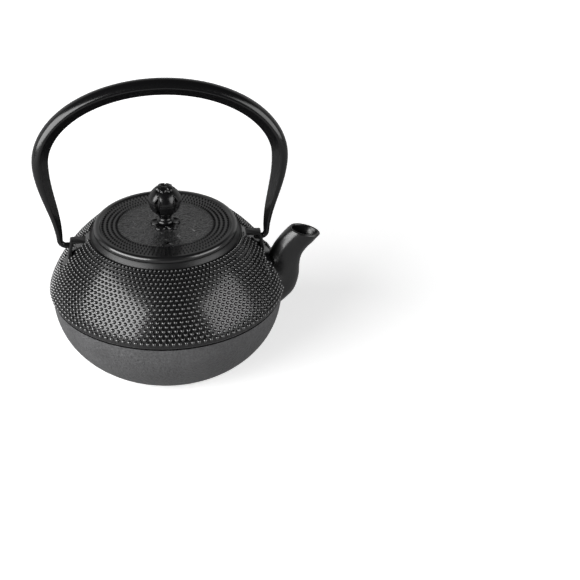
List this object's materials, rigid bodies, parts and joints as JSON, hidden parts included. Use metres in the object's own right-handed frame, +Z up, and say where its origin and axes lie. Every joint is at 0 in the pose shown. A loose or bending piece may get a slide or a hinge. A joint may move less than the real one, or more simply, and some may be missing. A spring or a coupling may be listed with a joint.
{
  "type": "cast iron teapot",
  "caption": "Round-bellied cast iron teapot with a swinging arched bail handle, a lift-off lid with a bud knob, a short curved spout and a hanging mesh infuser.",
  "frame": {"origin": "middle of the pot's flat foot, on the surface that the teapot stands on", "axes": "+Z up along the pot's axis, +X towards the spout; the bail's hinge line runs along X and the bail stands upright in the XZ plane at rest"},
  "size_m": [0.1848, 0.154, 0.2016],
  "materials": {
    "pot_iron": "satin black baked lacquer over fine sand-cast grain",
    "bail_iron": "smooth satin black lacquer",
    "knob_iron": "smooth gloss black lacquer",
    "stud_steel": "zinc plated, plain",
    "infuser_steel": "pressed stainless steel and fine woven mesh"
  },
  "bodies": {
    "pot": {"pot_body": "pot_iron", "mouth_ring": "pot_iron"},
    "bail": {"bail_handle": "bail_iron"},
    "infuser": {"infuser_rim": "infuser_steel", "infuser_mesh": "infuser_steel", "infuser_band": "infuser_steel", "infuser_floor": "infuser_steel"},
    "lid": {"lid": "pot_iron", "knob_plate": "knob_iron", "lid_knob": "knob_iron", "knob_stud": "stud_steel", "stud_washer": "stud_steel"}
  },
  "joints": [
    {"name": "bail_swing", "type": "hinge", "parent": "pot", "child": "bail", "pos_m": [0, 0, 0.0868], "axis": [1, 0, 0], "range_deg": [-122, 122]},
    {"name": "infuser_lift", "type": "slide", "parent": "pot", "child": "infuser", "axis": [0, 0, 1], "range_m": [0, 0.0445]},
    {"name": "lid_lift", "type": "slide", "parent": "infuser", "child": "lid", "axis": [0, 0, 1], "range_m": [0, 0.015]}
  ]
}
